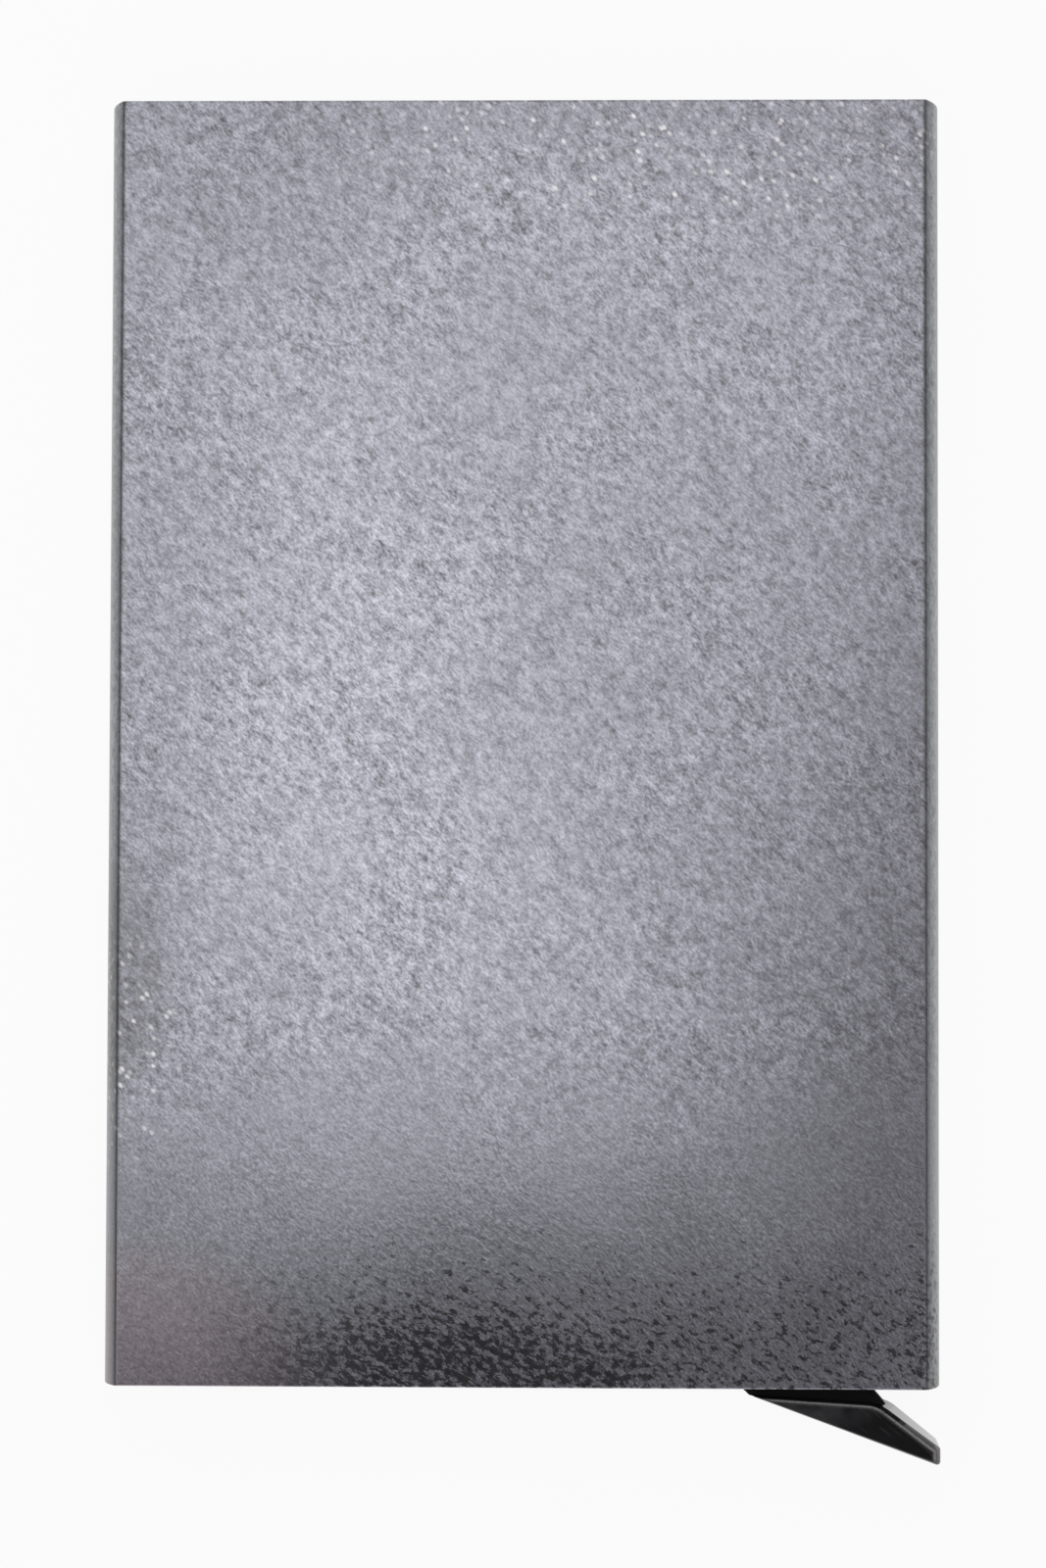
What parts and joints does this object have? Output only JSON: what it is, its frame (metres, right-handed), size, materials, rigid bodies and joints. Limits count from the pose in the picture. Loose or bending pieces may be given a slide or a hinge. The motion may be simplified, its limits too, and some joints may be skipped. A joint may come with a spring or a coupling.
{
  "type": "card holder",
  "caption": "Flat metal card sleeve, open at one end, with a stepped lever at its lower corner that fans the cards out.",
  "frame": {"origin": "middle of the sleeve's flat back face, which the case lies on", "axes": "+Y along the sleeve towards the card mouth, +Z out of the front face, +X towards the side with the lever"},
  "size_m": [0.063, 0.1027, 0.008],
  "materials": {
    "anodised_aluminium": "bead-blasted, titanium-grey anodised",
    "black_nylon": "moulded, fine texture",
    "trigger_nylon": "moulded, satin",
    "bright_steel": "rolled, bright",
    "grey_felt": "pressed felt"
  },
  "bodies": {
    "case": {"case_sleeve": "anodised_aluminium", "base_frame": "black_nylon", "pivot_cover": "black_nylon", "pivot_pin": "bright_steel", "guide_rail_left": "black_nylon", "guide_rail_right": "black_nylon", "card_spring_left": "bright_steel", "card_spring_right": "bright_steel", "felt_strip_left": "grey_felt", "felt_strip_right": "grey_felt"},
    "lever": {"lever": "trigger_nylon"}
  },
  "joints": [
    {"name": "lever_pivot", "type": "hinge", "parent": "case", "child": "lever", "pos_m": [0.024, -0.0437, 0.004], "axis": [0, 0, -1], "range_deg": [0, 32]}
  ]
}
